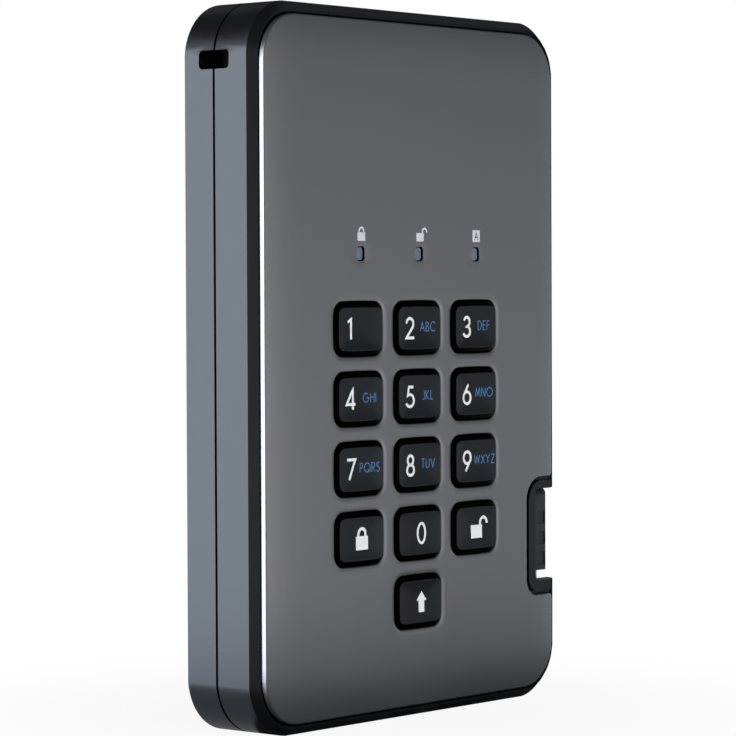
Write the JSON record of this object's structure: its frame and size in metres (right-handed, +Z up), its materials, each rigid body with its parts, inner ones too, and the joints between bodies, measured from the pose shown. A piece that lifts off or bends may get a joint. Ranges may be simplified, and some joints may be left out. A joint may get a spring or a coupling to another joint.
{
  "type": "encrypted external solid state drive",
  "caption": "Upright pocket storage drive with a metal face plate, a sprung keypad that unlocks it, light windows, a security slot and a built-in USB lead parked in its side.",
  "frame": {"origin": "middle of the lower end, at the centre of the overall width and depth", "axes": "+Z up along the length of the case, +X to the right seen from the front, +Y towards the back; the keypad faces -Y"},
  "size_m": [0.084, 0.0206, 0.124],
  "materials": {
    "case_plastic": "fine matt moulded texture, dark blue-grey",
    "plate_metal": "satin grey, fine brushed and anodised",
    "key_plastic": "satin dark grey with white and blue printed legends",
    "lens_plastic": "clear blue-grey light guide",
    "mat_silicone": "pale silicone",
    "dome_steel": "bright spring steel",
    "led_resin": "pale resin",
    "board_laminate": "green solder mask",
    "chip_resin": "black moulding compound",
    "capacitor_ceramic": "tan ceramic with tinned ends",
    "connector_plastic": "black connector plastic",
    "drive_metal": "plain stamped metal",
    "foam": "soft dark foam",
    "cage_steel": "plain folded steel",
    "lead_jacket": "satin black lead jacket",
    "plug_plastic": "soft matt dark grey moulding",
    "shell_steel": "bright plated sheet",
    "tongue_plastic": "blue connector plastic",
    "contact_metal": "gold plated strips",
    "gland_rubber": "satin black rubber"
  },
  "bodies": {
    "case": {"front_shell": "case_plastic", "rear_shell": "case_plastic", "face_plate": "plate_metal", "key_mat": "mat_silicone", "snap_domes": "dome_steel", "indicator_leds": "led_resin", "main_board": "board_laminate", "lock_controller": "chip_resin", "bridge_controller": "chip_resin", "small_board_parts": "capacitor_ceramic", "drive_socket": "connector_plastic", "lead_socket": "connector_plastic", "drive_base": "drive_metal", "drive_lid": "drive_metal", "drive_board": "board_laminate", "drive_chips": "chip_resin", "drive_plug": "connector_plastic", "foam_pads": "foam", "lock_cage": "cage_steel", "usb_lead": "lead_jacket", "plug_overmould": "plug_plastic", "plug_shell": "shell_steel", "plug_tongue": "tongue_plastic", "plug_contacts": "contact_metal", "cable_gland": "gland_rubber", "lens_left": "lens_plastic", "lens_middle": "lens_plastic", "lens_right": "lens_plastic"},
    "key_1": {"key_1": "key_plastic"},
    "key_2": {"key_2": "key_plastic"},
    "key_3": {"key_3": "key_plastic"},
    "key_4": {"key_4": "key_plastic"},
    "key_5": {"key_5": "key_plastic"},
    "key_6": {"key_6": "key_plastic"},
    "key_7": {"key_7": "key_plastic"},
    "key_8": {"key_8": "key_plastic"},
    "key_9": {"key_9": "key_plastic"},
    "key_lock": {"key_lock": "key_plastic"},
    "key_0": {"key_0": "key_plastic"},
    "key_unlock": {"key_unlock": "key_plastic"},
    "key_shift": {"key_shift": "key_plastic"}
  },
  "joints": [
    {"name": "key_1_press", "type": "slide", "parent": "case", "child": "key_1", "axis": [0, 1, 0], "range_m": [0, 0.0005], "stiffness_N_per_m": 1500, "springref_m": -0.0003, "deforming": ["key_mat"]},
    {"name": "key_2_press", "type": "slide", "parent": "case", "child": "key_2", "axis": [0, 1, 0], "range_m": [0, 0.0005], "stiffness_N_per_m": 1500, "springref_m": -0.0003, "deforming": ["key_mat"]},
    {"name": "key_3_press", "type": "slide", "parent": "case", "child": "key_3", "axis": [0, 1, 0], "range_m": [0, 0.0005], "stiffness_N_per_m": 1500, "springref_m": -0.0003, "deforming": ["key_mat"]},
    {"name": "key_4_press", "type": "slide", "parent": "case", "child": "key_4", "axis": [0, 1, 0], "range_m": [0, 0.0005], "stiffness_N_per_m": 1500, "springref_m": -0.0003, "deforming": ["key_mat"]},
    {"name": "key_5_press", "type": "slide", "parent": "case", "child": "key_5", "axis": [0, 1, 0], "range_m": [0, 0.0005], "stiffness_N_per_m": 1500, "springref_m": -0.0003, "deforming": ["key_mat"]},
    {"name": "key_6_press", "type": "slide", "parent": "case", "child": "key_6", "axis": [0, 1, 0], "range_m": [0, 0.0005], "stiffness_N_per_m": 1500, "springref_m": -0.0003, "deforming": ["key_mat"]},
    {"name": "key_7_press", "type": "slide", "parent": "case", "child": "key_7", "axis": [0, 1, 0], "range_m": [0, 0.0005], "stiffness_N_per_m": 1500, "springref_m": -0.0003, "deforming": ["key_mat"]},
    {"name": "key_8_press", "type": "slide", "parent": "case", "child": "key_8", "axis": [0, 1, 0], "range_m": [0, 0.0005], "stiffness_N_per_m": 1500, "springref_m": -0.0003, "deforming": ["key_mat"]},
    {"name": "key_9_press", "type": "slide", "parent": "case", "child": "key_9", "axis": [0, 1, 0], "range_m": [0, 0.0005], "stiffness_N_per_m": 1500, "springref_m": -0.0003, "deforming": ["key_mat"]},
    {"name": "key_lock_press", "type": "slide", "parent": "case", "child": "key_lock", "axis": [0, 1, 0], "range_m": [0, 0.0005], "stiffness_N_per_m": 1500, "springref_m": -0.0003, "deforming": ["key_mat"]},
    {"name": "key_0_press", "type": "slide", "parent": "case", "child": "key_0", "axis": [0, 1, 0], "range_m": [0, 0.0005], "stiffness_N_per_m": 1500, "springref_m": -0.0003, "deforming": ["key_mat"]},
    {"name": "key_unlock_press", "type": "slide", "parent": "case", "child": "key_unlock", "axis": [0, 1, 0], "range_m": [0, 0.0005], "stiffness_N_per_m": 1500, "springref_m": -0.0003, "deforming": ["key_mat"]},
    {"name": "key_shift_press", "type": "slide", "parent": "case", "child": "key_shift", "axis": [0, 1, 0], "range_m": [0, 0.0005], "stiffness_N_per_m": 1500, "springref_m": -0.0003, "deforming": ["key_mat"]}
  ]
}
